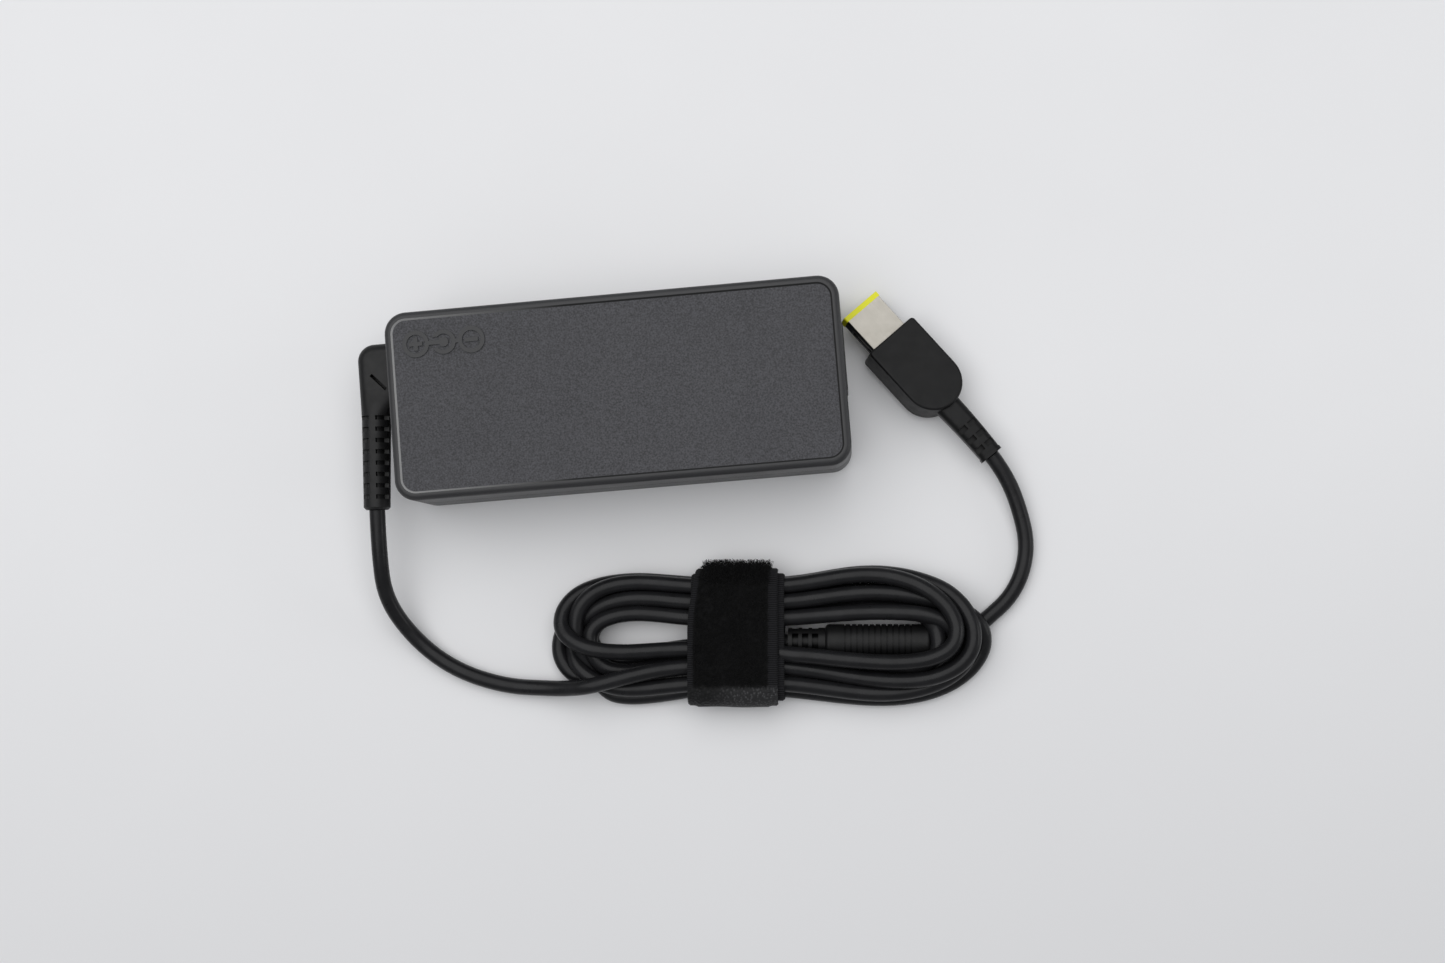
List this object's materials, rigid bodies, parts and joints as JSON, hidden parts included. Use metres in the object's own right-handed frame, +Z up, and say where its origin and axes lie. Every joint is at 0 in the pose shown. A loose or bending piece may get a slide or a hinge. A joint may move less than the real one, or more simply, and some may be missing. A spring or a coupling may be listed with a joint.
{
  "type": "laptop power adapter",
  "caption": "Mains adapter for a laptop: flat dark casing, ribbed right-angle outlet, strapped coil of cord with a ferrite, and a rectangular yellow-rimmed plug.",
  "frame": {"origin": "centre of the casing on the plane of its flat underside", "axes": "+X along the casing towards the mains inlet, +Y across it away from the cord coil, +Z up out of the textured top panel"},
  "size_m": [0.1672, 0.1066, 0.0295],
  "materials": {
    "casing_plastic": "dark grey moulded plastic, fine spark-eroded texture",
    "label_film": "blank satin black film",
    "inlet_plastic": "black glass-filled plastic",
    "pin_metal": "nickel plated",
    "board_laminate": "green solder mask",
    "insulating_film": "pale polyester film",
    "sheet_aluminium": "rolled sheet",
    "component_plastic": "moulded epoxy",
    "ceramic_disc": "coated ceramic disc",
    "ferrite": "sintered ferrite",
    "copper_wire": "enamelled copper",
    "can_aluminium": "sleeved aluminium can",
    "screw_steel": "zinc plated",
    "wire_sleeve": "vinyl sleeve",
    "moulded_elastomer": "black moulded elastomer",
    "cord_jacket": "black vinyl jacket, soft sheen",
    "strap_fabric": "black hook-and-loop tape",
    "yellow_plastic": "yellow moulded plastic",
    "plug_metal": "fine satin nickel plate"
  },
  "bodies": {
    "adapter": {"board_insulator": "insulating_film", "bottom_cover": "casing_plastic", "bridge_rectifier": "component_plastic", "bridging_capacitors": "ceramic_disc", "bulk_capacitor": "can_aluminium", "choke_core": "ferrite", "choke_windings": "copper_wire", "circuit_board": "board_laminate", "cord_hank": "cord_jacket", "cord_lead_in": "cord_jacket", "cord_lead_out": "cord_jacket", "cord_through_ferrite": "cord_jacket", "ferrite_core": "ferrite", "ferrite_overmould": "moulded_elastomer", "fuse": "component_plastic", "heat_spreader": "sheet_aluminium", "inlet_housing": "inlet_plastic", "inlet_pins": "pin_metal", "inrush_thermistor": "ceramic_disc", "insulating_film": "insulating_film", "optocoupler": "component_plastic", "outlet_elbow": "moulded_elastomer", "output_capacitors": "can_aluminium", "output_choke": "copper_wire", "output_rectifier": "component_plastic", "output_wires": "wire_sleeve", "plug_centre_pin": "pin_metal", "plug_core": "inlet_plastic", "plug_frame": "yellow_plastic", "plug_grip": "moulded_elastomer", "plug_plates": "plug_metal", "plug_relief": "moulded_elastomer", "plug_side_contacts": "pin_metal", "primary_controller": "component_plastic", "primary_heat_sink": "sheet_aluminium", "rating_label": "label_film", "secondary_controller": "component_plastic", "secondary_heat_sink": "sheet_aluminium", "sink_screws": "screw_steel", "strap_band": "strap_fabric", "supply_capacitor": "can_aluminium", "suppression_capacitor": "component_plastic", "switching_transistor": "component_plastic", "top_cover": "casing_plastic", "transformer_bobbin": "component_plastic", "transformer_core": "ferrite", "transformer_winding": "copper_wire"},
    "strap_tab": {"strap_tab": "strap_fabric"}
  },
  "joints": [
    {"name": "strap_peel", "type": "hinge", "parent": "adapter", "child": "strap_tab", "pos_m": [0.02389, -0.04834, 0.01135], "axis": [-0.9969, 0.0785, 0], "range_deg": [0, 120]}
  ]
}
